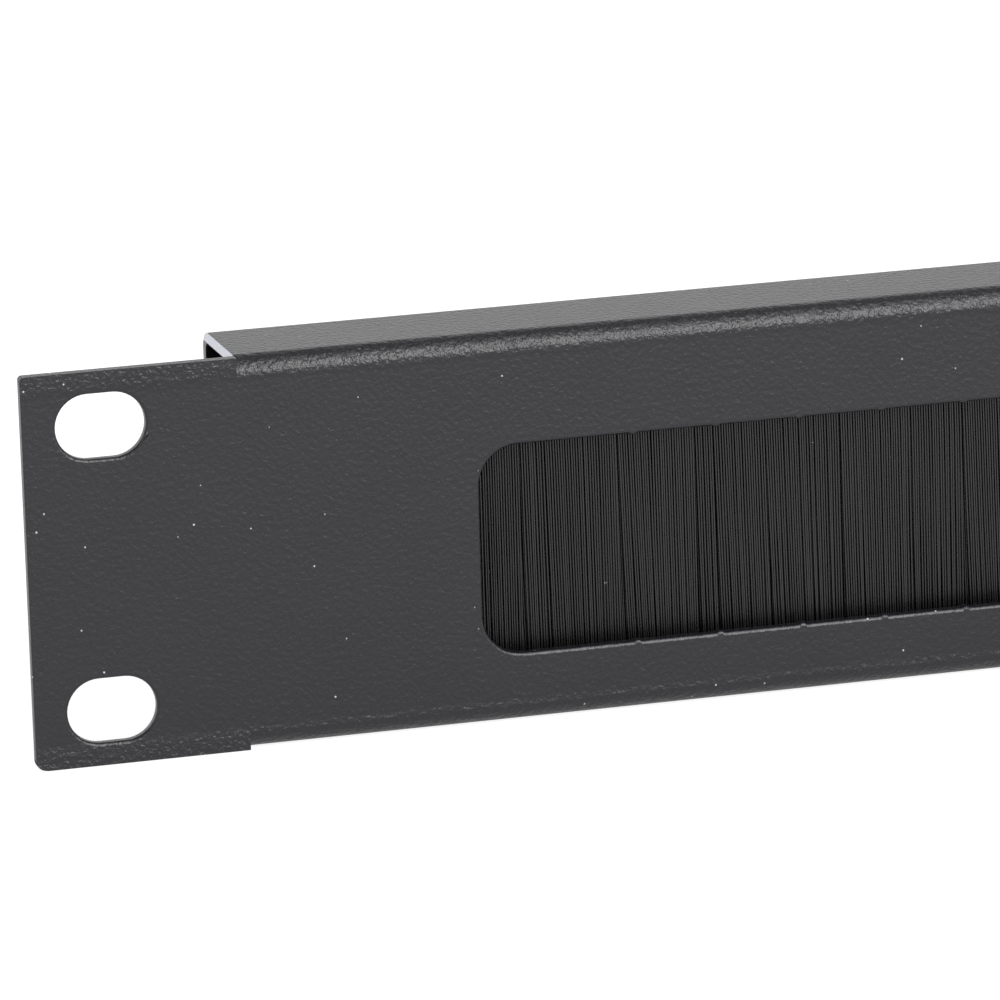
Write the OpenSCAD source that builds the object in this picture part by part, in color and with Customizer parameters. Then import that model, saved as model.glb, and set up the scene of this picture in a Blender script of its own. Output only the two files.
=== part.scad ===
// Brush strip panel for a 19-inch rack, one unit high.
//
// X runs along the panel, Y from the front to the rear and Z upwards.
// The origin is the middle of the four mounting slots, on the rear face of the ears,
// which is the plane that lies against the rack's rails.

/* [Panel] */
// Overall width across the ears
panel_w = 482.6; // [400:0.1:600]
// Overall height, one rack unit less its working clearance
panel_h = 44; // [40:0.5:60]
// Thickness of the sheet steel
sheet_t = 1.2; // [1:0.1:1.6]
// Depth of the top and bottom folds, over the outside of the sheet
fold_depth = 15.5; // [15.5:0.5:30]
// Height of the return lip at the rear of each fold
lip_h = 6; // [4:0.5:10]
// Inside radius of the folds
bend_r = 1; // [0.6:0.1:1.6]
// Flat width of each ear, outside the folds
ear_w = 24; // [18:0.5:40]
// Radius of the upper corners of the ears
ear_top_r = 0.5; // [0.3:0.1:2]
// Radius of the lower corners of the ears
ear_foot_r = 1.2; // [0.5:0.1:4]

/* [Mounting slots] */
// Distance from the end of the panel to the middle of a slot
slot_inset = 8.75; // [7:0.05:12]
// Distance from the upper or lower edge to the middle of a slot
slot_edge = 6.125; // [5:0.125:9]
// Length of a slot, over its round ends
slot_len = 10; // [7.5:0.1:13]
// Height of a slot
slot_h = 7.2; // [5.5:0.1:8]

/* [Window] */
// Distance from the end of the panel to the window
window_margin = 50.8; // [45:0.1:90]
// Height of the border above the window
border_top = 12.5; // [12.5:0.05:16]
// Height of the border below the window
border_foot = 7.85; // [7:0.05:12]
// Corner radius of the window
window_r = 4.5; // [2:0.1:8]
// Length of each bite of the punch that nibbled the long edges
nibble_pitch = 9.6; // [8:0.1:20]
// Height of the cusp left between two bites
nibble_h = 0.18; // [0.05:0.01:0.4]
// Radius of the cusp's rounded tip
nibble_r = 0.9; // [0.5:0.1:1.5]

/* [Strip brush] */
// How far the brush runs on behind the panel at each end of the window
brush_over = 9.5; // [4:0.5:20]
// How far the bristle tips reach below the window
tip_over = 4; // [1:0.5:4.5]
// Width of the metal channel that is crimped on the bristles
channel_w = 3.8; // [3.4:0.05:3.9]
// Height of that channel
channel_h = 4.6; // [4.2:0.1:5]
// Thickness of the channel's strip
channel_t = 0.5; // [0.4:0.05:0.7]
// Gap between the crimped lips of the channel
mouth_w = 2; // [1.6:0.1:2.3]
// Diameter of the wire that the bristles are folded over
wire_d = 1.2; // [0.8:0.1:1.5]
// Thickness of the hanging bristles
curtain_t = 2.4; // [2.2:0.1:3.4]
// Distance between neighbouring ridges of bristles
ridge_pitch = 1.4; // [1:0.1:3]
// Depth of the furrow between two ridges
ridge_depth = 0.3; // [0.1:0.05:0.6]
// Width of a tuft, between two partings
tuft_pitch = 3.4; // [3.4:0.1:12]
// Widest parting between two tufts, at their tips
parting_w = 0.5; // [0.2:0.05:0.8]

/* [Carrier] */
// Thickness of the extruded carrier's walls
carrier_t = 1; // [0.8:0.05:1.05]
// Distance from the window's upper edge to the underside of the carrier
carrier_rise = 0.4; // [0.2:0.1:0.5]
// Width of each toe that the brush channel stands on
toe_w = 0.8; // [0.6:0.05:0.9]
// Thickness of each toe
toe_t = 0.8; // [0.6:0.05:1]
// Distance from the carrier's leg to the panel's rear lip
leg_gap = 0.4; // [0.3:0.05:0.5]

/* [Fixings] */
// Number of weld studs
stud_count = 5; // [3:2:7]
// Distance between neighbouring studs
stud_pitch = 90; // [40:1:92]
// Diameter of a stud
stud_d = 3; // [2.5:0.1:3]
// Length of a stud from the sheet to its end
stud_len = 6; // [5:0.5:8]
// Diameter of a stud's weld flange
stud_foot_d = 4.4; // [3.8:0.1:4.4]
// Thickness of a stud's weld flange
stud_foot_t = 0.7; // [0.4:0.05:0.75]
// Outside diameter of a washer
washer_d = 6; // [5.5:0.1:6]
// Thickness of a washer
washer_t = 0.5; // [0.4:0.05:0.8]
// Width of a nut across its flats
nut_af = 5.5; // [5:0.1:5.5]
// Height of a nut
nut_h = 2.4; // [1.8:0.1:2.6]

/* [Hidden] */
$fn = 48;

// Clearances
slide_gap = 0.1;    // the brush channel in the carrier, on each side
crimp_gap = 0.05;   // the bristles in their channel and round the wire
thread_gap = 0.05;  // a nut's bore round its stud
washer_gap = 0.1;   // a washer's hole round its stud
foot_gap = 0.2;     // the carrier's holes round the weld flanges
past = 1;           // how far a cutting shape runs on past what it cuts

// Levels and faces of the folded sheet
top_z = panel_h/2;
shelf_z = top_z - sheet_t;                  // underside of the top fold
bend_outer_r = bend_r + sheet_t;
front_y = -sheet_t;
fold_rear_y = front_y + fold_depth;
lip_inner_y = fold_rear_y - sheet_t;
fold_w = panel_w - 2*ear_w;                 // length of the folds

// Window and slots
window_w = panel_w - 2*window_margin;
window_h = panel_h - border_top - border_foot;
window_top_z = top_z - border_top;
window_z = window_top_z - window_h/2;
slot_x = panel_w/2 - slot_inset;
slot_z = panel_h/2 - slot_edge;

// Carrier, from the panel's rear face backwards and from the window upwards
brush_len = window_w + 2*brush_over;
pocket_w = channel_w + 2*slide_gap;
pocket_front_y = carrier_t;
pocket_rear_y = pocket_front_y + pocket_w;
carrier_rear_y = pocket_rear_y + carrier_t;
brush_y = pocket_front_y + pocket_w/2;
carrier_foot_z = window_top_z + carrier_rise;
pocket_foot_z = carrier_foot_z + toe_t;
pocket_top_z = pocket_foot_z + channel_h + slide_gap;
leg_foot_z = shelf_z - carrier_t;
leg_rear_y = lip_inner_y - leg_gap;
fillet_r = 0.4;

// Strip brush
lip_t = 0.6;                                // height of the channel's crimped lips
cavity_w = channel_w - 2*channel_t;
cavity_foot_z = pocket_foot_z + lip_t;
cavity_top_z = pocket_foot_z + channel_h - channel_t;
cavity_r = cavity_w/2;
channel_head_r = 1;
channel_foot_r = 0.2;
wire_z = cavity_top_z - cavity_r;
curtain_top_z = carrier_foot_z - slide_gap;
tip_z = window_z - window_h/2 - tip_over;
tuft_count = floor(brush_len/tuft_pitch);
ridge_count = floor(brush_len/ridge_pitch);

// Fixings
stud_y = (carrier_rear_y + fillet_r + leg_rear_y)/2;
nut_top_z = leg_foot_z - washer_t;
nut_chamfer = 0.35;
stud_tip = 0.4;                             // chamfer at the end of a stud

// A repeatable scatter between 0 and 1 for the copy with number i
function scatter(i, seed) = let (s = sin(i*78.233 + seed*37.719)*437.585) s - floor(s);

// A rectangle from corner a to corner b
module span(a, b) {
    translate(a) square([b[0] - a[0], b[1] - a[1]]);
}

// A rectangle in the middle with rounded corners
module round_rect(size, r) {
    square([size[0] - 2*r, size[1]], center = true);
    square([size[0], size[1] - 2*r], center = true);
    for (x = [-1, 1], y = [-1, 1])
        translate([x*(size[0]/2 - r), y*(size[1]/2 - r)]) circle(r);
}

// The same with one radius at its lower and another at its upper corners
module uneven_rect(size, foot_r, head_r) {
    shift = max(foot_r, head_r);
    translate([0, -shift/2]) round_rect([size[0], size[1] - shift], foot_r);
    translate([0, shift/2]) round_rect([size[0], size[1] - shift], head_r);
}

// A section drawn in Y and Z, run along X for the given length
module along_x(length) {
    rotate([90, 0, 90]) linear_extrude(length, center = true) children();
}

// An outline drawn in X and Z, from the face at y = near back to y = far
module plate(near, far) {
    translate([0, far, 0]) rotate([90, 0, 0]) linear_extrude(far - near) children();
}

// ---------- Panel ----------

// Section of the folded sheet: front, two folds and their return lips
module fold_section() {
    middle_y = (front_y + fold_rear_y)/2;
    gap_h = panel_h - 2*lip_h;
    difference() {
        translate([middle_y, 0])
            round_rect([fold_depth, panel_h], bend_outer_r);
        translate([middle_y, 0])
            round_rect([fold_depth - 2*sheet_t, panel_h - 2*sheet_t], bend_r);
        span([lip_inner_y - bend_r, -gap_h/2], [fold_rear_y + past, gap_h/2]);
    }
}

// Front outline outside the folds: two full-height ears and the band that joins them
module front_outline() {
    band_h = panel_h - 2*bend_outer_r;
    intersection() {
        uneven_rect([panel_w, panel_h], ear_foot_r, ear_top_r);
        for (side = [-1, 1])
            translate([side*(panel_w/2 - ear_w/2), 0]) square([ear_w, panel_h], center = true);
    }
    square([panel_w - 2*ear_foot_r, band_h], center = true);
}

// Cusps left by the nibbling punch along one long edge of the window
module cusp_row() {
    straight_w = window_w - 2*window_r;
    bites = floor(straight_w/nibble_pitch);
    for (i = [1 : bites - 1])
        translate([(i - bites/2)*nibble_pitch, nibble_r - nibble_h]) circle(nibble_r, $fn = 24);
}

// The window, less the cusps on its long edges
module window_outline() {
    translate([0, window_z]) difference() {
        round_rect([window_w, window_h], window_r);
        translate([0, window_h/2]) cusp_row();
        translate([0, -window_h/2]) mirror([0, 1]) cusp_row();
    }
}

// A mounting slot with full-round ends
module slot_outline() {
    run = (slot_len - slot_h)/2;
    square([2*run, slot_h], center = true);
    for (side = [-1, 1])
        translate([side*run, 0]) circle(slot_h/2);
}

module panel() {
    color("#3c3c40") difference() {
        union() {
            along_x(fold_w) fold_section();
            plate(front_y, 0) front_outline();
        }
        plate(front_y - past, past) window_outline();
        for (x = [-slot_x, slot_x], z = [-slot_z, slot_z])
            plate(front_y - past, past) translate([x, z]) slot_outline();
    }
}

// ---------- Carrier ----------

// Section of the extrusion: a pocket for the brush, and a leg under the top fold
module carrier_section() {
    roof_z = pocket_top_z + carrier_t;
    span([0, carrier_foot_z], [pocket_front_y, roof_z]);
    span([pocket_rear_y, carrier_foot_z], [carrier_rear_y, shelf_z]);
    span([0, pocket_top_z], [carrier_rear_y, roof_z]);
    span([0, carrier_foot_z], [pocket_front_y + toe_w, pocket_foot_z]);
    span([pocket_rear_y - toe_w, carrier_foot_z], [carrier_rear_y, pocket_foot_z]);
    // the leg, whose rear edge is rounded to lie inside the fold
    difference() {
        span([pocket_rear_y, leg_foot_z], [leg_rear_y, shelf_z]);
        difference() {
            span([leg_rear_y - bend_r, shelf_z - bend_r], [leg_rear_y + past, shelf_z + past]);
            translate([leg_rear_y - bend_r, shelf_z - bend_r]) circle(bend_r);
        }
    }
    // fillet in the inside corner, under the leg
    difference() {
        span([carrier_rear_y - carrier_t/2, leg_foot_z - fillet_r],
             [carrier_rear_y + fillet_r, leg_foot_z + carrier_t/2]);
        translate([carrier_rear_y + fillet_r, leg_foot_z - fillet_r]) circle(fillet_r);
    }
}

module brush_carrier() {
    hole_d = stud_foot_d + 2*foot_gap;
    color("#b9bcc0") difference() {
        along_x(brush_len) carrier_section();
        for (i = [1 : stud_count])
            translate([stud_x(i), stud_y, leg_foot_z - past]) cylinder(d = hole_d, h = carrier_t + 2*past);
    }
}

// ---------- Strip brush ----------

// Outline of the round-topped space round the bristles and the wire, less a margin
module root_section(margin) {
    r = cavity_r - margin;
    translate([brush_y, wire_z]) circle(r);
    span([brush_y - r, cavity_foot_z + margin], [brush_y + r, wire_z]);
    span([brush_y - mouth_w/2 + margin, curtain_top_z - past], [brush_y + mouth_w/2 - margin, wire_z]);
}

module brush_channel() {
    color("#9ea3a8") along_x(brush_len) difference() {
        translate([brush_y, pocket_foot_z + channel_h/2])
            uneven_rect([channel_w, channel_h], channel_foot_r, channel_head_r);
        root_section(0);
    }
}

module core_wire() {
    color("#b4b6b8") translate([0, brush_y, wire_z]) rotate([0, 90, 0])
        cylinder(d = wire_d, h = brush_len, center = true);
}

// Plan of the hanging bristles: ridges and furrows on both faces
module ridge_plan() {
    crest = curtain_t/2;
    step = brush_len/ridge_count;
    x0 = -brush_len/2;
    front = [for (i = [0 : ridge_count - 1]) each
        [[x0 + i*step, ridge_depth - crest], [x0 + (i + 0.35 + 0.3*scatter(i, 1))*step, -crest]]];
    rear = [for (i = [ridge_count - 1 : -1 : 0]) each
        [[x0 + (i + 0.35 + 0.3*scatter(i, 2))*step, crest], [x0 + i*step, crest - ridge_depth]]];
    polygon(concat(front, [[-x0, ridge_depth - crest], [-x0, crest - ridge_depth]], rear));
}

// Front view of the hanging bristles: tufts of uneven length with partings between them
module tuft_outline() {
    step = brush_len/tuft_count;
    x0 = -brush_len/2;
    drop = curtain_top_z - tip_z;
    tips = [for (i = [tuft_count - 1 : -1 : 0])
        let (left = x0 + (i + (i > 0 ? 0.5*scatter(i, 3) - 0.25 : 0))*step,
             right = x0 + (i + 1 + (i < tuft_count - 1 ? 0.5*scatter(i + 1, 3) - 0.25 : 0))*step,
             left_gap = i > 0 ? parting_w*(0.2 + 0.8*scatter(i, 4)) : 0,
             right_gap = i < tuft_count - 1 ? parting_w*(0.2 + 0.8*scatter(i + 1, 4)) : 0,
             length = drop - 0.5*scatter(i, 5),
             split = drop*(0.35 + 0.6*scatter(i, 6)))
        each concat([[right - right_gap/2, curtain_top_z - length], [left + left_gap/2, curtain_top_z - length]],
                    i > 0 ? [[left, tip_z + split]] : [])];
    polygon(concat([[x0, curtain_top_z], [-x0, curtain_top_z]], tips));
}

module bristles() {
    color("#2c2c2e") {
        difference() {
            along_x(brush_len) root_section(crimp_gap);
            translate([0, brush_y, wire_z]) rotate([0, 90, 0])
                cylinder(d = wire_d + 2*crimp_gap, h = brush_len + past, center = true);
        }
        intersection() {
            translate([0, brush_y, tip_z - past]) linear_extrude(curtain_top_z - tip_z + past) ridge_plan();
            plate(brush_y - curtain_t, brush_y + curtain_t) tuft_outline();
        }
    }
}

// ---------- Fixings ----------

// Place of stud number i along the panel
function stud_x(i) = (i - (stud_count + 1)/2)*stud_pitch;

// A weld stud that hangs from the top fold
module stud(i) {
    end_z = shelf_z - stud_len;
    color("#b08d57") translate([stud_x(i), stud_y, 0]) {
        translate([0, 0, shelf_z - stud_foot_t]) cylinder(d = stud_foot_d, h = stud_foot_t);
        translate([0, 0, end_z + stud_tip]) cylinder(d = stud_d, h = stud_len - stud_tip);
        translate([0, 0, end_z]) cylinder(d1 = stud_d - 2*stud_tip, d2 = stud_d, h = stud_tip);
    }
}

module washer(i) {
    color("#c4c7ca") translate([stud_x(i), stud_y, nut_top_z]) difference() {
        cylinder(d = washer_d, h = washer_t);
        translate([0, 0, -past]) cylinder(d = stud_d + 2*washer_gap, h = washer_t + 2*past);
    }
}

// Outline that turns the corners of a nut down to its flats, above and below
module nut_envelope() {
    corner_r = nut_af/sqrt(3);
    rotate_extrude() polygon([[0, 0], [corner_r - nut_chamfer, 0], [corner_r, nut_chamfer/2],
        [corner_r, nut_h - nut_chamfer/2], [corner_r - nut_chamfer, nut_h], [0, nut_h]]);
}

module nut(i) {
    bore_d = stud_d + 2*thread_gap;
    color("#c4c7ca") translate([stud_x(i), stud_y, nut_top_z - nut_h]) difference() {
        intersection() {
            cylinder(d = 2*nut_af/sqrt(3), h = nut_h, $fn = 6);
            nut_envelope();
        }
        translate([0, 0, -past]) cylinder(d = bore_d, h = nut_h + 2*past);
    }
}

panel();
brush_carrier();
brush_channel();
core_wire();
bristles();
for (i = [1 : stud_count]) {
    stud(i);
    washer(i);
    nut(i);
}
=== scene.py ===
"""Looks of a rack brush strip panel, built round its packed construction model."""

import math

import bpy
import numpy as np
from mathutils import Matrix, Vector


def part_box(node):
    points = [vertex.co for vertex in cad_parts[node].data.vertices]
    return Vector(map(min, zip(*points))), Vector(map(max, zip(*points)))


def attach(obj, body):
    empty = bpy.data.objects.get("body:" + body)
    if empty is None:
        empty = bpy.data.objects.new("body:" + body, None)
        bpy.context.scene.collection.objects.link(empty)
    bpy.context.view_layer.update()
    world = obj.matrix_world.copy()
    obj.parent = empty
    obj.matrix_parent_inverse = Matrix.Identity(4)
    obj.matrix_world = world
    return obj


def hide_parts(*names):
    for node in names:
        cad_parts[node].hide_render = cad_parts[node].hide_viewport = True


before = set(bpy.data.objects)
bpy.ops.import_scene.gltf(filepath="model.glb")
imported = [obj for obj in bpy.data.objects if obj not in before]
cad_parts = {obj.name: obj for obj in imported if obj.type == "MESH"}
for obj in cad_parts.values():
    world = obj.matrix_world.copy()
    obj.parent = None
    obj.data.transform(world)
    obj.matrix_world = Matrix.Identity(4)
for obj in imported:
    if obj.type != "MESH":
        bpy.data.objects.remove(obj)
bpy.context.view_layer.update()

bl_info = {
    "name": "Rack brush strip panel",
    "version": (1, 0, 0),
    "blender": (4, 5, 0),
    "location": "3D View > Sidebar > Brush panel",
    "description": "Finishes the sheet, hangs the bristles and sets the studio of a rack brush strip panel",
    "category": "Object",
}

BODY = "root"
MM = 0.001

NODES = sorted(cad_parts)
STUDS = [name for name in NODES if name.startswith("stud_")]
WASHERS = [name for name in NODES if name.startswith("washer_")]
NUTS = [name for name in NODES if name.startswith("nut_")]

# Places that the construction model gives
PANEL_LOW, PANEL_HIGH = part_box("panel")
BRUSH_LOW, BRUSH_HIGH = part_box("bristles")
CHANNEL_LOW, CHANNEL_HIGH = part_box("brush_channel")
CARRIER_LOW, CARRIER_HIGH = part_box("brush_carrier")
SHEET = -PANEL_LOW.y            # the ears' rear face is at Y = 0
EAR = 24 * MM                   # flat width of each ear, outside the folds
BEND = 2.2 * MM                 # outside radius of the bends
NEAR = 0.05 * MM                # what is closer than this to a face lies on it

# The brush, below and inside its channel
CURTAIN = 2.4 * MM              # thickness of the hanging bristles
MOUTH = 1.9 * MM                # room for them between the channel's crimped lips
ROOT_TOP = CHANNEL_LOW.z + 0.9 * MM
ROOT_OUTER = 1.33 * MM          # radius of the bundle that is folded over the wire
OPEN_ROWS = 2                   # front rows that are combed open; those behind stand side by side
CLOSED_ROW = 3                  # the straight row in the middle, with no gap to see through
FIRST_SEED = 100                # the first row's random draws start from it


# ---------- Settings ----------

class SheetSettings(bpy.types.PropertyGroup):
    """Folded steel sheet and its powder coat"""

    edge_round: bpy.props.FloatProperty(
        name="Edge rounding", description="Radius that the coat gives to a cut edge",
        default=0.15 * MM, min=0.02 * MM, max=0.2 * MM, precision=5, unit="LENGTH")
    rim_round: bpy.props.FloatProperty(
        name="Window rim", description="Rounding that the punch left round the front of the window",
        default=0.4 * MM, min=0.05 * MM, max=0.55 * MM, precision=5, unit="LENGTH")
    peel_size: bpy.props.FloatProperty(
        name="Peel size", description="Distance between two bumps of the orange peel",
        default=0.55 * MM, min=0.2 * MM, max=3 * MM, precision=5, unit="LENGTH")
    peel_height: bpy.props.FloatProperty(
        name="Peel height", description="Height of the orange peel",
        default=0.068 * MM, min=0, max=0.4 * MM, precision=5, unit="LENGTH")
    bend_grain: bpy.props.FloatProperty(
        name="Bend grain", description="How much coarser the peel is on the bends",
        default=2.2, min=1, max=5)
    speck_spacing: bpy.props.FloatProperty(
        name="Dust spacing", description="Distance between the cells that may hold a speck of dust",
        default=3.2 * MM, min=1 * MM, max=20 * MM, precision=4, unit="LENGTH")
    coat: bpy.props.StringProperty(
        name="Coat colour", description="Hex colour of the powder coat", default="#0a0a10")


class BristleSettings(bpy.types.PropertyGroup):
    """Strip brush that hangs in the window"""

    pitch: bpy.props.FloatProperty(
        name="Pitch", description="Distance between neighbouring filaments of a row",
        default=0.3 * MM, min=0.2 * MM, max=1 * MM, precision=5, unit="LENGTH")
    diameter: bpy.props.FloatProperty(
        name="Diameter", description="Diameter of a filament",
        default=0.23 * MM, min=0.1 * MM, max=0.6 * MM, precision=5, unit="LENGTH")
    rows: bpy.props.IntProperty(
        name="Rows", description="Rows of filaments from the front to the rear", default=6, min=2, max=8)
    lean: bpy.props.FloatProperty(
        name="Lean", description="How far the tips have combed to the right",
        default=0.7 * MM, min=0, max=3 * MM, precision=5, unit="LENGTH")
    gather: bpy.props.FloatProperty(
        name="Gather", description="Share by which a tuft draws together at its tips",
        default=0.05, min=0, max=0.3)
    trim: bpy.props.FloatProperty(
        name="Trim", description="Most that a filament falls short of the longest",
        default=0.5 * MM, min=0, max=3 * MM, precision=5, unit="LENGTH")
    nylon: bpy.props.StringProperty(
        name="Nylon colour", description="Hex colour of the filaments", default="#121213")


class MetalSettings(bpy.types.PropertyGroup):
    """Bare metal pieces behind the sheet"""

    aluminium: bpy.props.StringProperty(
        name="Aluminium", description="Hex colour of the extruded carrier", default="#c2c4c7")
    zinc: bpy.props.StringProperty(
        name="Zinc", description="Hex colour of galvanised strip and wire", default="#b3b7bb")
    plating: bpy.props.StringProperty(
        name="Plating", description="Hex colour of the plated nuts and washers", default="#c9ccd0")
    copper: bpy.props.StringProperty(
        name="Copper", description="Hex colour of the coppered weld studs", default="#c98b62")
    edge_round: bpy.props.FloatProperty(
        name="Edge break", description="Rounding of the small metal pieces",
        default=0.06 * MM, min=0.01 * MM, max=0.2 * MM, precision=5, unit="LENGTH")


class StageSettings(bpy.types.PropertyGroup):
    """Floor, light and camera"""

    backdrop: bpy.props.StringProperty(
        name="Backdrop", description="Hex colour of the floor and backdrop", default="#ffffff")
    main_light: bpy.props.FloatProperty(
        name="Main softbox", description="Brightness of the main softbox, where 1 is white",
        default=7.5, min=0, max=20)
    upper_light: bpy.props.FloatProperty(
        name="Upper softbox", description="Brightness of the softbox above it, where 1 is white",
        default=2.2, min=0, max=20)
    lens: bpy.props.FloatProperty(
        name="Lens", description="Focal length on a 36 mm sensor", default=275.1, min=20, max=600)
    pan: bpy.props.FloatProperty(
        name="Pan", description="Turn of the camera to the right of straight ahead",
        default=math.radians(15.42), subtype="ANGLE", unit="ROTATION")
    tilt: bpy.props.FloatProperty(
        name="Tilt", description="Tilt of the camera below the horizon",
        default=math.radians(14.03), subtype="ANGLE", unit="ROTATION")
    roll: bpy.props.FloatProperty(
        name="Roll", description="Roll of the camera about its axis",
        default=math.radians(-1.69), subtype="ANGLE", unit="ROTATION")


# ---------- Colours, nodes and materials ----------

def colour(hex_code, share=1.0):
    """A colour written as sRGB hex, as linear RGBA, and that share as bright."""
    steps = [int(hex_code[i:i + 2], 16) / 255 for i in (1, 3, 5)]
    linear = [s / 12.92 if s <= 0.04045 else ((s + 0.055) / 1.055) ** 2.4 for s in steps]
    return [min(1.0, share * step) for step in linear] + [1.0]


def set_inputs(tree, node, inputs):
    """Gives each input of a node a value, a socket to read, or a node whose first output it reads."""
    for name, value in inputs.items():
        if isinstance(value, bpy.types.Node):
            value = next(output for output in value.outputs if output.enabled)
        if isinstance(value, bpy.types.NodeSocket):
            tree.links.new(value, node.inputs[name])
        else:
            node.inputs[name].default_value = value


def add_node(tree, kind, inputs=None, **settings):
    """Adds a node, and sets its properties and its inputs."""
    node = tree.nodes.new(kind)
    for name, value in settings.items():
        setattr(node, name, value)
    set_inputs(tree, node, inputs or {})
    return node


def new_material(name, surface):
    """A material with one Principled surface whose sockets are set by name, and its node tree."""
    material = bpy.data.materials.new(name)
    material.use_nodes = True
    tree = material.node_tree
    shader = tree.nodes["Principled BSDF"]
    set_inputs(tree, shader, surface)
    return material, tree, shader


def object_coordinates(tree, stretch=(1, 1, 1)):
    """The piece's own coordinates, scaled along each axis."""
    place = add_node(tree, "ShaderNodeTexCoord")
    return add_node(tree, "ShaderNodeMapping", {"Vector": place.outputs["Object"], "Scale": stretch})


def dust(tree, spacing, size):
    """Sparse specks of dust: 1 in the few cells whose middle lies on the surface."""
    cells = add_node(tree, "ShaderNodeTexVoronoi", {
        "Vector": object_coordinates(tree), "Scale": 1 / spacing})
    return add_node(tree, "ShaderNodeMapRange", {
        "Value": cells.outputs["Distance"],
        "From Min": 0.7 * size / spacing, "From Max": 0.4 * size / spacing})


def powder_coat(settings):
    """Black polyester powder coat, sprayed and stoved on steel.

    The eye gets a dark satin skin with a fine orange peel that breaks up every highlight, a few specks
    of dust, and a painted highlight on the ends of the folds, given as bright bare metal.
    """
    material, tree, shader = new_material("powder_coat_black_satin", {"Roughness": 0.32, "IOR": 1.5})
    where = object_coordinates(tree)
    clouds = add_node(tree, "ShaderNodeTexNoise", {"Vector": where, "Scale": 1 / (7 * MM), "Detail": 3})
    mottle = add_node(tree, "ShaderNodeMapRange", {"Value": clouds, "From Min": 0.35, "From Max": 0.65})
    coat = add_node(tree, "ShaderNodeMix", {
        "Factor": mottle, "A": colour(settings.coat), "B": colour(settings.coat, 1.25)}, data_type="RGBA")
    specks = dust(tree, settings.speck_spacing, 0.22 * MM)
    dusty = add_node(tree, "ShaderNodeMix", {
        "Factor": specks, "A": coat, "B": colour("#a9abb0")}, data_type="RGBA")

    # painted highlight on the folds' ends, as bright bare metal: past the folds' length, behind the ears,
    # and in the flange's thickness
    axis = add_node(tree, "ShaderNodeSeparateXYZ", {"Vector": where})
    across = add_node(tree, "ShaderNodeMath", {0: axis.outputs["X"]}, operation="ABSOLUTE")
    up = add_node(tree, "ShaderNodeMath", {0: axis.outputs["Z"]}, operation="ABSOLUTE")
    past_end = add_node(tree, "ShaderNodeMath", {
        0: across, 1: PANEL_HIGH.x - EAR - 0.02 * MM}, operation="GREATER_THAN")
    behind = add_node(tree, "ShaderNodeMath", {
        0: axis.outputs["Y"], 1: 0.3 * MM}, operation="GREATER_THAN")
    in_flange = add_node(tree, "ShaderNodeMath", {
        0: up, 1: PANEL_HIGH.z - SHEET + NEAR}, operation="GREATER_THAN")
    painted_highlight_ends = add_node(tree, "ShaderNodeMath", {0: past_end, 1: behind}, operation="MULTIPLY")
    painted_highlight_ends = add_node(tree, "ShaderNodeMath", {0: painted_highlight_ends, 1: in_flange}, operation="MULTIPLY")
    # painted highlight: the folds' ends get a bright metal colour
    tone = add_node(tree, "ShaderNodeMix", {
        "Factor": painted_highlight_ends, "A": dusty, "B": colour("#c4c6cf")}, data_type="RGBA")

    # orange peel: broad lumps with a finer grain on them
    lumps = add_node(tree, "ShaderNodeTexNoise", {
        "Vector": where, "Scale": 1 / settings.peel_size, "Detail": 1.5, "Roughness": 0.45})
    grain = add_node(tree, "ShaderNodeTexNoise", {
        "Vector": where, "Scale": 1 / (0.4 * settings.peel_size), "Detail": 1.0})
    peel = add_node(tree, "ShaderNodeMath", {0: grain, 1: 0.35, 2: lumps}, operation="MULTIPLY_ADD")
    # the steel's own grain stands up where the front was stretched round a bend
    bend_start = PANEL_HIGH.z - BEND
    stretched = add_node(tree, "ShaderNodeMapRange", {
        "Value": up, "From Min": bend_start - 0.5 * MM, "From Max": bend_start + 0.5 * MM,
        "To Min": 1.0, "To Max": settings.bend_grain})
    peel = add_node(tree, "ShaderNodeMath", {0: peel, 1: stretched}, operation="MULTIPLY")
    height = add_node(tree, "ShaderNodeMath", {0: specks, 1: 1.2, 2: peel}, operation="MULTIPLY_ADD")
    bump = add_node(tree, "ShaderNodeBump", {
        "Strength": 1.0, "Distance": settings.peel_height, "Height": height})
    # the folds' ends also turn metallic, for the painted highlight
    set_inputs(tree, shader, {"Base Color": tone, "Metallic": painted_highlight_ends, "Normal": bump})
    return material


def nylon_filament(settings):
    """Black nylon monofilament, extruded.

    The eye gets dark glossy threads, each with a thin line of light and a shade of its own.
    """
    material, tree, shader = new_material("nylon_monofilament_black", {"Roughness": 0.34, "IOR": 1.53})
    shade = add_node(tree, "ShaderNodeAttribute", attribute_name="filament_shade")
    nylon = add_node(tree, "ShaderNodeMix", {
        "Factor": shade.outputs["Fac"], "A": colour(settings.nylon, 0.55), "B": colour(settings.nylon, 1.5)},
        data_type="RGBA")
    specks = dust(tree, 5 * MM, 0.25 * MM)
    tone = add_node(tree, "ShaderNodeMix", {
        "Factor": specks, "A": nylon, "B": colour("#8f9298")}, data_type="RGBA")
    set_inputs(tree, shader, {"Base Color": tone})
    return material


def packed_nylon(settings):
    """The same monofilament, crimped into a bundle.

    The eye gets a dark block with fine lines across the brush, one for each filament.
    """
    material, tree, shader = new_material("nylon_monofilament_packed", {"Roughness": 0.4, "IOR": 1.53})
    lines = add_node(tree, "ShaderNodeTexNoise", {
        "Vector": object_coordinates(tree, (1, 0.05, 0.05)), "Scale": 1 / settings.diameter, "Detail": 1})
    light = add_node(tree, "ShaderNodeMapRange", {"Value": lines, "From Min": 0.35, "From Max": 0.65})
    tone = add_node(tree, "ShaderNodeMix", {
        "Factor": light, "A": colour("#101011"), "B": colour(settings.nylon)}, data_type="RGBA")
    bump = add_node(tree, "ShaderNodeBump", {"Strength": 1.0, "Distance": 0.1 * MM, "Height": lines})
    set_inputs(tree, shader, {"Base Color": tone, "Normal": bump})
    return material


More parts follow.
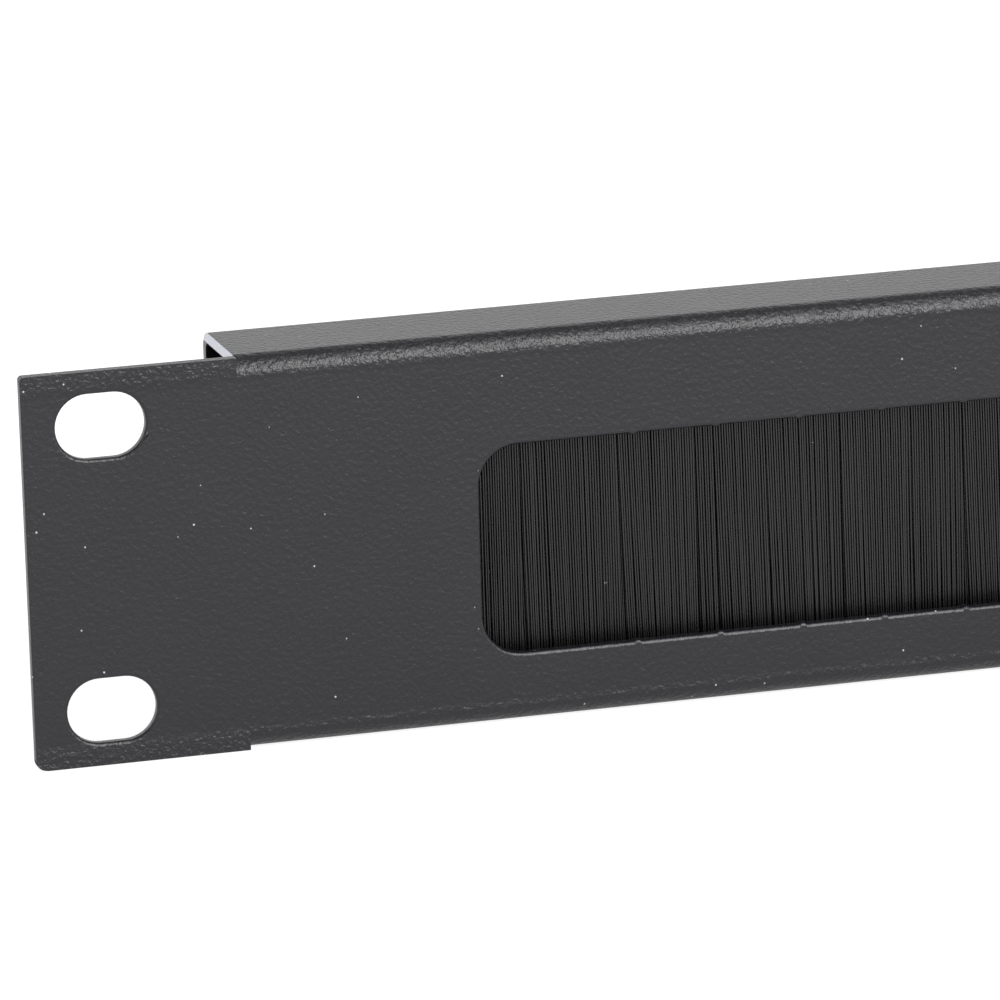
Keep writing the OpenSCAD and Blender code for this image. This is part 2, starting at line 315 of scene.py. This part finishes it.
def extruded_aluminium(settings):
    """Aluminium 6060, extruded and left bare.

    The eye gets a bright grey metal with fine die lines that run the length of the bar.
    """
    material, tree, shader = new_material("extruded_aluminium_mill", {"Metallic": 1.0, "Roughness": 0.34})
    lines = add_node(tree, "ShaderNodeTexNoise", {
        "Vector": object_coordinates(tree, (0.004, 1, 1)), "Scale": 1 / (0.18 * MM), "Detail": 2})
    patches = add_node(tree, "ShaderNodeTexNoise", {
        "Vector": object_coordinates(tree), "Scale": 1 / (14 * MM), "Detail": 3})
    dull = add_node(tree, "ShaderNodeMapRange", {"Value": patches, "From Min": 0.35, "From Max": 0.65})
    tone = add_node(tree, "ShaderNodeMix", {
        "Factor": dull, "A": colour(settings.aluminium), "B": colour("#aeb1b5")}, data_type="RGBA")
    bump = add_node(tree, "ShaderNodeBump", {"Strength": 0.6, "Distance": 0.01 * MM, "Height": lines})
    set_inputs(tree, shader, {"Base Color": tone, "Normal": bump})
    return material


def galvanised_steel(settings, name, spangle):
    """Hot-dip galvanised steel, rolled to strip or drawn to wire.

    The eye gets a cool grey metal with faint crystals that differ in shade and gloss.
    """
    material, tree, shader = new_material(name, {"Metallic": 1.0})
    crystals = add_node(tree, "ShaderNodeTexVoronoi", {
        "Vector": object_coordinates(tree), "Scale": 1 / spangle})
    shade = add_node(tree, "ShaderNodeSeparateColor", {"Color": crystals.outputs["Color"]})
    tone = add_node(tree, "ShaderNodeMix", {
        "Factor": shade, "A": colour(settings.zinc), "B": colour("#8f9499")}, data_type="RGBA")
    gloss = add_node(tree, "ShaderNodeMapRange", {"Value": shade, "To Min": 0.3, "To Max": 0.5})
    set_inputs(tree, shader, {"Base Color": tone, "Roughness": gloss})
    return material


def plated_steel(name, hex_code, turned):
    """Steel with a thin electroplated skin of zinc or copper, over a turned or pressed surface.

    The eye gets a clean bright metal with faint rings from the tool and a slight cloudiness.
    """
    material, tree, shader = new_material(name, {"Metallic": 1.0})
    rings = add_node(tree, "ShaderNodeTexNoise", {
        "Vector": object_coordinates(tree, (0.1, 0.1, 1)), "Scale": 1 / turned, "Detail": 2})
    clouds = add_node(tree, "ShaderNodeTexNoise", {
        "Vector": object_coordinates(tree), "Scale": 1 / (1.5 * MM), "Detail": 3})
    dull = add_node(tree, "ShaderNodeMapRange", {"Value": clouds, "From Min": 0.4, "From Max": 0.7})
    tone = add_node(tree, "ShaderNodeMix", {
        "Factor": dull, "A": colour(hex_code), "B": colour(hex_code, 0.72)}, data_type="RGBA")
    gloss = add_node(tree, "ShaderNodeMapRange", {
        "Value": clouds, "From Min": 0.3, "From Max": 0.7, "To Min": 0.2, "To Max": 0.36})
    bump = add_node(tree, "ShaderNodeBump", {"Strength": 0.5, "Distance": 0.008 * MM, "Height": rings})
    set_inputs(tree, shader, {"Base Color": tone, "Roughness": gloss, "Normal": bump})
    return material


# ---------- Working on meshes ----------

def deselect():
    """Leaves nothing selected, because an operator acts on all that is."""
    bpy.ops.object.select_all(action="DESELECT")


def make_active(obj):
    """Selects one object alone."""
    deselect()
    obj.select_set(True)
    bpy.context.view_layer.objects.active = obj


def finish_piece(obj, name, material):
    """Names a modelled piece, gives it its finish and seats it on the body."""
    obj.name = obj.data.name = name
    obj.data.materials.clear()
    obj.data.materials.append(material)
    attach(obj, BODY)
    return obj


def dress(node, material, width=0.0):
    """A construction solid keeps its mesh and gets a finish, and, given a width, a Bevel that breaks its
    sharp edges.
    """
    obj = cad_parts[node]
    obj.data.materials.clear()
    obj.data.materials.append(material)
    make_active(obj)
    bpy.ops.mesh.customdata_custom_splitnormals_clear()
    bpy.ops.object.shade_smooth()
    weld = obj.modifiers.new("joined_faces", "WELD")
    weld.merge_threshold = 0.001 * MM
    flat = obj.modifiers.new("flat_faces", "DECIMATE")
    flat.decimate_type = "DISSOLVE"
    flat.angle_limit = math.radians(1)
    if width:
        bevel = add_bevel(obj, "broken_edges", width, 2)
        bevel.limit_method = "ANGLE"
        bevel.angle_limit = math.radians(35)
    return obj


def add_bevel(obj, name, width, segments):
    """A Bevel modifier that keeps flat faces looking flat."""
    bevel = obj.modifiers.new(name, "BEVEL")
    bevel.width = width
    bevel.segments = segments
    bevel.use_clamp_overlap = False
    bevel.harden_normals = True
    return bevel


def round_rim(obj, name, width, segments, chosen):
    """Rounds the edges between the vertices that chosen picks by their place."""
    group = obj.vertex_groups.new(name=name)
    group.add([v.index for v in obj.data.vertices if chosen(v.co)], 1.0, "REPLACE")
    bevel = add_bevel(obj, name, width, segments)
    bevel.limit_method = "VGROUP"
    bevel.vertex_group = name


def shade_flats(obj):
    """Shades flat faces flat and bends smooth: sharp edges are split, and large faces lead the normals."""
    split = obj.modifiers.new("sharp_edges", "EDGE_SPLIT")
    split.split_angle = math.radians(28)
    weighted = obj.modifiers.new("face_normals", "WEIGHTED_NORMAL")
    weighted.mode = "FACE_AREA"
    weighted.weight = 100


def on_front(place):
    """True on the front face of the sheet."""
    return place.y < PANEL_LOW.y + NEAR


def in_window(place):
    """True on the rim of the window, at the front or the rear of the sheet."""
    margin = 5 * MM
    inside = abs(place.x) < CARRIER_HIGH.x - margin and abs(place.z) < CHANNEL_LOW.z + margin
    return inside and place.y < NEAR


def in_slot(place):
    """True on the edge of a mounting slot, at the front or the rear of the sheet."""
    from_end = PANEL_HIGH.x - abs(place.x)
    from_edge = PANEL_HIGH.z - abs(place.z)
    return 2 * MM < from_end < 16 * MM and 1.5 * MM < from_edge < 12 * MM and place.y < NEAR


def on_outline(place):
    """True on the outline of an ear, clear of its tight upper corners and of where the folds end."""
    corner = 0.49 * MM
    on_ear = abs(place.x) > PANEL_HIGH.x - EAR + 0.3 * MM and place.y < NEAR
    in_corner = abs(place.x) > PANEL_HIGH.x - corner and place.z > PANEL_HIGH.z - corner
    return on_ear and not in_slot(place) and not in_corner


# ---------- Pieces ----------

class BRUSHPANEL_OT_sheet(bpy.types.Operator):
    """Coat the folded sheet and round its cut edges"""

    bl_idname = "brush_panel.sheet"
    bl_label = "Coat the sheet"

    def execute(self, context):
        settings = context.scene.brush_panel_sheet
        sheet = dress("panel", powder_coat(settings))
        round_rim(sheet, "punched_edges", settings.rim_round, 5,
                  lambda v: on_front(v) and (in_window(v) or in_slot(v)))
        round_rim(sheet, "cut_edges", settings.edge_round, 2,
                  lambda v: on_outline(v) or not on_front(v) and (in_window(v) or in_slot(v)))
        shade_flats(sheet)
        return {"FINISHED"}


class BRUSHPANEL_OT_carrier(bpy.types.Operator):
    """Finish the extruded carrier that holds the brush"""

    bl_idname = "brush_panel.carrier"
    bl_label = "Finish the carrier"

    def execute(self, context):
        settings = context.scene.brush_panel_metal
        dress("brush_carrier", extruded_aluminium(settings), settings.edge_round)
        return {"FINISHED"}


class BRUSHPANEL_OT_channel(bpy.types.Operator):
    """Finish the crimped channel and the wire that the filaments are folded over"""

    bl_idname = "brush_panel.channel"
    bl_label = "Finish channel and wire"

    def execute(self, context):
        settings = context.scene.brush_panel_metal
        strip = galvanised_steel(settings, "galvanised_steel_strip", 1.6 * MM)
        wire = galvanised_steel(settings, "galvanised_steel_wire", 0.5 * MM)
        dress("brush_channel", strip, settings.edge_round)
        dress("core_wire", wire, 0.5 * settings.edge_round)
        return {"FINISHED"}


def filament(settings, length):
    """One straight filament with its upper end at Z = 0: a thin prism with cuts to bend at."""
    deselect()
    bpy.ops.mesh.primitive_cylinder_add(
        vertices=5, radius=settings.diameter / 2, depth=length, end_fill_type="NGON",
        location=(0, 0, -length / 2))
    obj = bpy.context.object
    bpy.ops.object.transform_apply(location=True, rotation=True, scale=True)
    bpy.ops.object.mode_set(mode="EDIT")
    for share in (0.2, 0.5, 0.75):
        bpy.ops.mesh.select_all(action="SELECT")
        bpy.ops.mesh.bisect(plane_co=(0, 0, -share * length), plane_no=(0, 0, 1))
    bpy.ops.object.mode_set(mode="OBJECT")
    bpy.ops.object.shade_smooth_by_angle(angle=math.radians(80))
    return obj


def looseness(row):
    """How freely that row's filaments lean and gather, from 0 to 1."""
    if row == CLOSED_ROW:
        return 0.0
    return 1.0 if row < OPEN_ROWS else 0.3


def tufts(count, draw):
    """Splits a row of filaments into tufts and gives each filament its tuft's number."""
    numbers = []
    while len(numbers) < count:
        numbers += [numbers[-1] + 1 if numbers else 0] * int(draw.integers(7, 30))
    return np.array(numbers[:count])


def comb(obj, settings, row, count, pitch, length):
    """Moves the copies of a filament into a combed row: tufts draw together and lean as they hang."""
    draw = np.random.default_rng(FIRST_SEED + row)
    mesh = obj.data
    places = np.zeros(len(mesh.vertices) * 3)
    mesh.vertices.foreach_get("co", places)
    places = places.reshape(count, -1, 3)
    roots = BRUSH_LOW.x + (np.arange(count) + 0.5) * pitch
    tuft = tufts(count, draw)
    middles = np.array([roots[tuft == t].mean() for t in range(tuft[-1] + 1)])
    loose = looseness(row)
    leans = settings.lean * (0.5 + loose * draw.uniform(-0.5, 0.5, len(middles)))
    tips = loose * settings.gather * draw.uniform(0.1, 1.6, len(middles))
    tops = tips * draw.uniform(0, 0.5, len(middles))
    # how far down each filament a point is, from 0 at its root to 1 at its tip
    down = -places[:, :, 2] / length
    own = loose * draw.normal(0, 0.05 * MM, count)
    towards = middles[tuft] - roots
    at_top = (tops[tuft] * towards)[:, None]
    at_tip = (tips[tuft] * towards + own + leans[tuft])[:, None]
    shift = at_top * (1 - down) + at_tip * down ** 1.4
    stagger = (0.25 if row % 2 else 0.75) * pitch
    seat = loose * draw.normal(0, 0.02 * MM, count)[:, None]
    across = places[:, :, 0] + BRUSH_LOW.x + stagger + seat + shift
    places[:, :, 0] = np.clip(across, BRUSH_LOW.x, BRUSH_HIGH.x)
    # rows stand close in the channel's mouth and spread to the curtain's thickness below it
    share = row / (settings.rows - 1) - 0.5
    middle_y = (BRUSH_LOW.y + BRUSH_HIGH.y) / 2
    curtain = CURTAIN - settings.diameter
    mouth = MOUTH - settings.diameter
    wide = mouth + (curtain - mouth) * np.clip(down / 0.15, 0, 1)
    wobble = draw.normal(0, 0.03 * MM, count)[:, None] * down
    row_y = middle_y + share * wide + wobble
    places[:, :, 1] += np.clip(row_y, middle_y - curtain / 2, middle_y + curtain / 2)
    short = draw.uniform(0, settings.trim, count)
    reach = (length - short) / length
    places[:, :, 2] = ROOT_TOP + places[:, :, 2] * reach[:, None]
    mesh.vertices.foreach_set("co", places.ravel())
    shade = mesh.attributes.new("filament_shade", "FLOAT", "POINT")
    tones = np.clip(draw.normal(0.5, 0.2, count) + draw.normal(0, 0.12, len(middles))[tuft], 0, 1)
    shade.data.foreach_set("value", np.repeat(tones, places.shape[1]))
    mesh.update()


def arc(middle, radius, start, end, steps):
    """Points on an arc in Y and Z, at X = 0."""
    turns = [start + (end - start) * i / steps for i in range(steps + 1)]
    return [(0, middle[0] + radius * math.cos(a), middle[1] + radius * math.sin(a)) for a in turns]


def folded_root():
    """The bundle folded over the core wire: a horseshoe section whose legs meet in the mouth."""
    wire_low, wire_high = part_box("core_wire")
    middle = ((wire_low.y + wire_high.y) / 2, (wire_low.z + wire_high.z) / 2)
    inner = (wire_high.z - wire_low.z) / 2 + 0.02 * MM
    foot_z = ROOT_TOP - 0.3 * MM
    slit = 0.01 * MM
    out_y = MOUTH / 2
    outline = arc(middle, ROOT_OUTER, 0, math.pi, 20)
    outline += [(0, middle[0] - out_y, foot_z), (0, middle[0] - slit, foot_z)]
    outline += arc(middle, inner, 1.5 * math.pi - 0.02, -0.5 * math.pi + 0.02, 20)
    outline += [(0, middle[0] + slit, foot_z), (0, middle[0] + out_y, foot_z)]
    mesh = bpy.data.meshes.new("root")
    mesh.from_pydata(outline, [], [range(len(outline))])
    obj = bpy.data.objects.new("root", mesh)
    bpy.context.scene.collection.objects.link(obj)
    make_active(obj)
    mesh.transform(Matrix.Translation((BRUSH_LOW.x, 0, 0)))
    bpy.ops.object.mode_set(mode="EDIT")
    bpy.ops.mesh.select_all(action="SELECT")
    bpy.ops.mesh.extrude_region_move(
        TRANSFORM_OT_translate={"value": (BRUSH_HIGH.x - BRUSH_LOW.x, 0, 0)})
    bpy.ops.mesh.select_all(action="SELECT")
    bpy.ops.mesh.normals_make_consistent(inside=False)
    bpy.ops.object.mode_set(mode="OBJECT")
    bpy.ops.object.shade_smooth_by_angle(angle=math.radians(40))
    return obj


class BRUSHPANEL_OT_bristles(bpy.types.Operator):
    """Hang the rows of nylon filaments, and fill the channel with their folded roots"""

    bl_idname = "brush_panel.bristles"
    bl_label = "Hang the bristles"

    def execute(self, context):
        settings = context.scene.brush_panel_bristles
        material = nylon_filament(settings)
        length = ROOT_TOP - BRUSH_LOW.z
        run = BRUSH_HIGH.x - BRUSH_LOW.x
        for row in range(settings.rows):
            side_by_side = (0.95 if row == CLOSED_ROW else 1.02) * settings.diameter
            spacing = settings.pitch if row < OPEN_ROWS else side_by_side
            count = int(run / spacing)
            pitch = run / count
            obj = filament(settings, length)
            copies = obj.modifiers.new("copies", "ARRAY")
            copies.count = count
            copies.use_relative_offset = False
            copies.use_constant_offset = True
            copies.constant_offset_displace = (pitch, 0, 0)
            bpy.ops.object.modifier_apply(modifier="copies")
            comb(obj, settings, row, count, pitch, length)
            finish_piece(obj, f"bristle_row_{row + 1}", material)
            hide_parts("bristles")
        root = finish_piece(folded_root(), "bristle_root", packed_nylon(settings))
        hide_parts("bristles")
        return {"FINISHED"}


class BRUSHPANEL_OT_fixings(bpy.types.Operator):
    """Finish the weld studs, their washers and their nuts"""

    bl_idname = "brush_panel.fixings"
    bl_label = "Finish the fixings"

    def execute(self, context):
        settings = context.scene.brush_panel_metal
        copper = plated_steel("coppered_steel", settings.copper, 0.5 * MM)
        zinc = plated_steel("zinc_plated_steel", settings.plating, 0.3 * MM)
        for name in STUDS:
            dress(name, copper, settings.edge_round)
        for name in WASHERS + NUTS:
            dress(name, zinc, settings.edge_round)
        return {"FINISHED"}


# ---------- Stage ----------

FLOOR_SIZE = 6.0
FLOOR_DROP = 0.1 * MM           # the floor is that far below the lower fold
CAMERA_PLACE = Vector((-0.4043, -0.7846, 0.2065))
LAMP_DISTANCE = 1.5
LAMP_SIDE = math.radians(15)    # to the right of the panel's front
MAIN_RISE = math.radians(29)
UPPER_RISE = math.radians(64)
ROOM_LIGHT = 1.12
# the sine of a height above the horizon, and how bright the room is there
ROOM_STEPS = ((0.36, 1.0), (0.6, 0.7), (0.8, 0.45))


def studio_world(settings):
    """A bright band round the horizon under a dimmer ceiling, and plain white where the camera looks."""
    world = bpy.data.worlds.new("studio")
    bpy.context.scene.world = world
    world.use_nodes = True
    tree = world.node_tree
    tree.nodes.clear()
    direction = add_node(tree, "ShaderNodeTexCoord")
    axis = add_node(tree, "ShaderNodeSeparateXYZ", {"Vector": direction.outputs["Generated"]})
    band = add_node(tree, "ShaderNodeValToRGB", {"Fac": axis.outputs["Z"]})
    stops = band.color_ramp.elements
    stops[0].position, stops[0].color = 0.0, (1, 1, 1, 1)
    stops[1].position, stops[1].color = 0.95, (0.4, 0.4, 0.41, 1)
    for position, level in ROOM_STEPS:
        stops.new(position).color = (level, level, level, 1)
    room = add_node(tree, "ShaderNodeBackground", {"Color": band, "Strength": ROOM_LIGHT})
    white = add_node(tree, "ShaderNodeBackground", {"Color": colour(settings.backdrop), "Strength": 1.0})
    ray = add_node(tree, "ShaderNodeLightPath")
    mix = add_node(tree, "ShaderNodeMixShader", {0: ray.outputs["Is Camera Ray"], 1: room, 2: white})
    add_node(tree, "ShaderNodeOutputWorld", {"Surface": mix})


def pale_floor(settings):
    """White paper sweep: matt to the light, near white to the camera, with the object's shadow kept."""
    material = bpy.data.materials.new("white_paper_sweep")
    material.use_nodes = True
    tree = material.node_tree
    tree.nodes.clear()
    paper = add_node(tree, "ShaderNodeBsdfDiffuse", {"Color": colour(settings.backdrop, 0.9)})
    glow = add_node(tree, "ShaderNodeEmission", {"Color": colour(settings.backdrop), "Strength": 1.3})
    ray = add_node(tree, "ShaderNodeLightPath")
    seen = add_node(tree, "ShaderNodeMath", {0: ray.outputs["Is Camera Ray"], 1: 0.65}, operation="MULTIPLY")
    mirrored = add_node(tree, "ShaderNodeMath", {
        0: ray.outputs["Is Glossy Ray"], 1: ray.outputs["Is Transmission Ray"]}, operation="MAXIMUM")
    mirrored = add_node(tree, "ShaderNodeMath", {0: mirrored, 1: 0.35}, operation="MULTIPLY")
    share = add_node(tree, "ShaderNodeMath", {0: seen, 1: mirrored}, operation="MAXIMUM")
    mix = add_node(tree, "ShaderNodeMixShader", {0: share, 1: paper, 2: glow})
    add_node(tree, "ShaderNodeOutputMaterial", {"Surface": mix})
    return material


def softbox(name, brightness, rise, width, height):
    """A softbox in front of the panel and to its right, raised by that angle and turned to the panel."""
    lamp = bpy.data.lights.new(name, "AREA")
    lamp.shape = "RECTANGLE"
    lamp.size, lamp.size_y = width, height
    lamp.energy = brightness * math.pi * width * height
    obj = bpy.data.objects.new(name, lamp)
    bpy.context.scene.collection.objects.link(obj)
    level = math.cos(rise)
    towards = Vector((math.sin(LAMP_SIDE) * level, -math.cos(LAMP_SIDE) * level, math.sin(rise)))
    obj.location = LAMP_DISTANCE * towards
    obj.rotation_euler = towards.to_track_quat("Z", "Y").to_euler()


def camera(settings):
    """The camera, in front of the panel's left end and looking down on it."""
    lens = bpy.data.cameras.new("camera")
    lens.sensor_width = 36
    lens.lens = settings.lens
    lens.clip_start, lens.clip_end = 0.01, 100
    obj = bpy.data.objects.new("camera", lens)
    bpy.context.scene.collection.objects.link(obj)
    pan, tilt, roll = settings.pan, settings.tilt, settings.roll
    ahead = Vector((math.sin(pan) * math.cos(tilt), math.cos(pan) * math.cos(tilt), -math.sin(tilt)))
    level = Vector((math.cos(pan), -math.sin(pan), 0))
    upright = level.cross(ahead)
    right = math.cos(roll) * level + math.sin(roll) * upright
    up = -math.sin(roll) * level + math.cos(roll) * upright
    turn = Matrix((right, up, -ahead)).transposed().to_4x4()
    obj.matrix_world = Matrix.Translation(CAMERA_PLACE) @ turn
    bpy.context.scene.camera = obj


class BRUSHPANEL_OT_stage(bpy.types.Operator):
    """Set the floor, the light and the camera"""

    bl_idname = "brush_panel.stage"
    bl_label = "Set the stage"

    def execute(self, context):
        settings = context.scene.brush_panel_stage
        deselect()
        bpy.ops.mesh.primitive_plane_add(size=FLOOR_SIZE, location=(0, 0, PANEL_LOW.z - FLOOR_DROP))
        floor = context.object
        floor.name = floor.data.name = "floor"
        floor.data.materials.append(pale_floor(settings))
        studio_world(settings)
        softbox("main_softbox", settings.main_light, MAIN_RISE, 0.8, 1.1)
        softbox("upper_softbox", settings.upper_light, UPPER_RISE, 0.8, 0.9)
        camera(settings)
        context.scene.view_settings.view_transform = "Standard"
        return {"FINISHED"}


# ---------- Sidebar ----------

class BRUSHPANEL_PT_sidebar(bpy.types.Panel):
    """Lists the steps that finish the panel"""

    bl_idname = "BRUSHPANEL_PT_sidebar"
    bl_label = "Brush panel"
    bl_space_type = "VIEW_3D"
    bl_region_type = "UI"
    bl_category = "Brush panel"

    def draw(self, context):
        for group in GROUPS:
            box = self.layout.box()
            settings = getattr(context.scene, group)
            for name in settings.__annotations__:
                box.prop(settings, name)
        for step in STEPS:
            self.layout.operator(step.bl_idname)


GROUPS = {
    "brush_panel_sheet": SheetSettings,
    "brush_panel_bristles": BristleSettings,
    "brush_panel_metal": MetalSettings,
    "brush_panel_stage": StageSettings,
}
STEPS = (BRUSHPANEL_OT_sheet, BRUSHPANEL_OT_carrier, BRUSHPANEL_OT_channel, BRUSHPANEL_OT_bristles,
         BRUSHPANEL_OT_fixings, BRUSHPANEL_OT_stage)


def register():
    """Adds the settings, the steps and the sidebar panel."""
    for group, settings in GROUPS.items():
        bpy.utils.register_class(settings)
        setattr(bpy.types.Scene, group, bpy.props.PointerProperty(type=settings))
    for step in STEPS:
        bpy.utils.register_class(step)
    bpy.utils.register_class(BRUSHPANEL_PT_sidebar)


def unregister():
    """Takes them out again."""
    bpy.utils.unregister_class(BRUSHPANEL_PT_sidebar)
    for step in reversed(STEPS):
        bpy.utils.unregister_class(step)
    for group, settings in reversed(GROUPS.items()):
        delattr(bpy.types.Scene, group)
        bpy.utils.unregister_class(settings)


def main():
    """Takes every step in order."""
    register()
    bpy.ops.brush_panel.sheet()
    bpy.ops.brush_panel.carrier()
    bpy.ops.brush_panel.channel()
    bpy.ops.brush_panel.bristles()
    bpy.ops.brush_panel.fixings()
    bpy.ops.brush_panel.stage()


if __name__ == "__main__":
    main()
